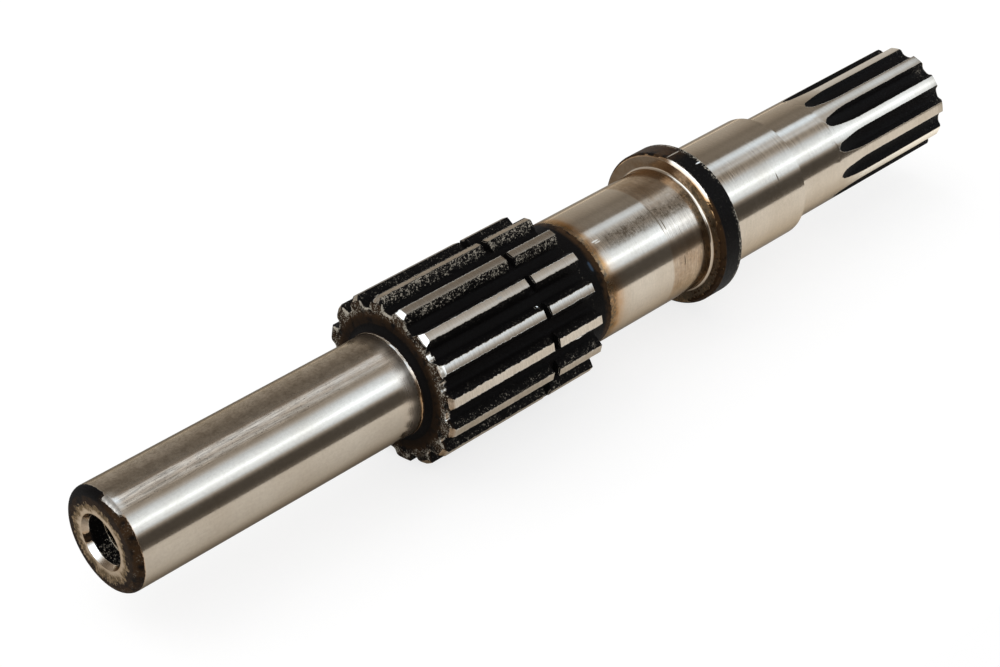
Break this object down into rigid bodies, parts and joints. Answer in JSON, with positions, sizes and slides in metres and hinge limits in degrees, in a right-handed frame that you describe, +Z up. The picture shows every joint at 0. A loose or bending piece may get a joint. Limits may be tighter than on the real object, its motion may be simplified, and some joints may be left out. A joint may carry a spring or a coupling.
{
  "type": "clutch shaft",
  "caption": "Ground steel clutch shaft with a toothed drum, a thrust collar, bearing journals and a splined tail.",
  "frame": {"origin": "under the middle of the shaft, on the surface that two lands of the drum rest on", "axes": "+X along the shaft from the plain end to the splined tail, +Z up"},
  "size_m": [0.3734, 0.058, 0.0579],
  "materials": {
    "steel": "ground journals, scaled dark drum gaps and slots"
  },
  "bodies": {
    "root": {"clutch_shaft": "steel"}
  },
  "joints": []
}
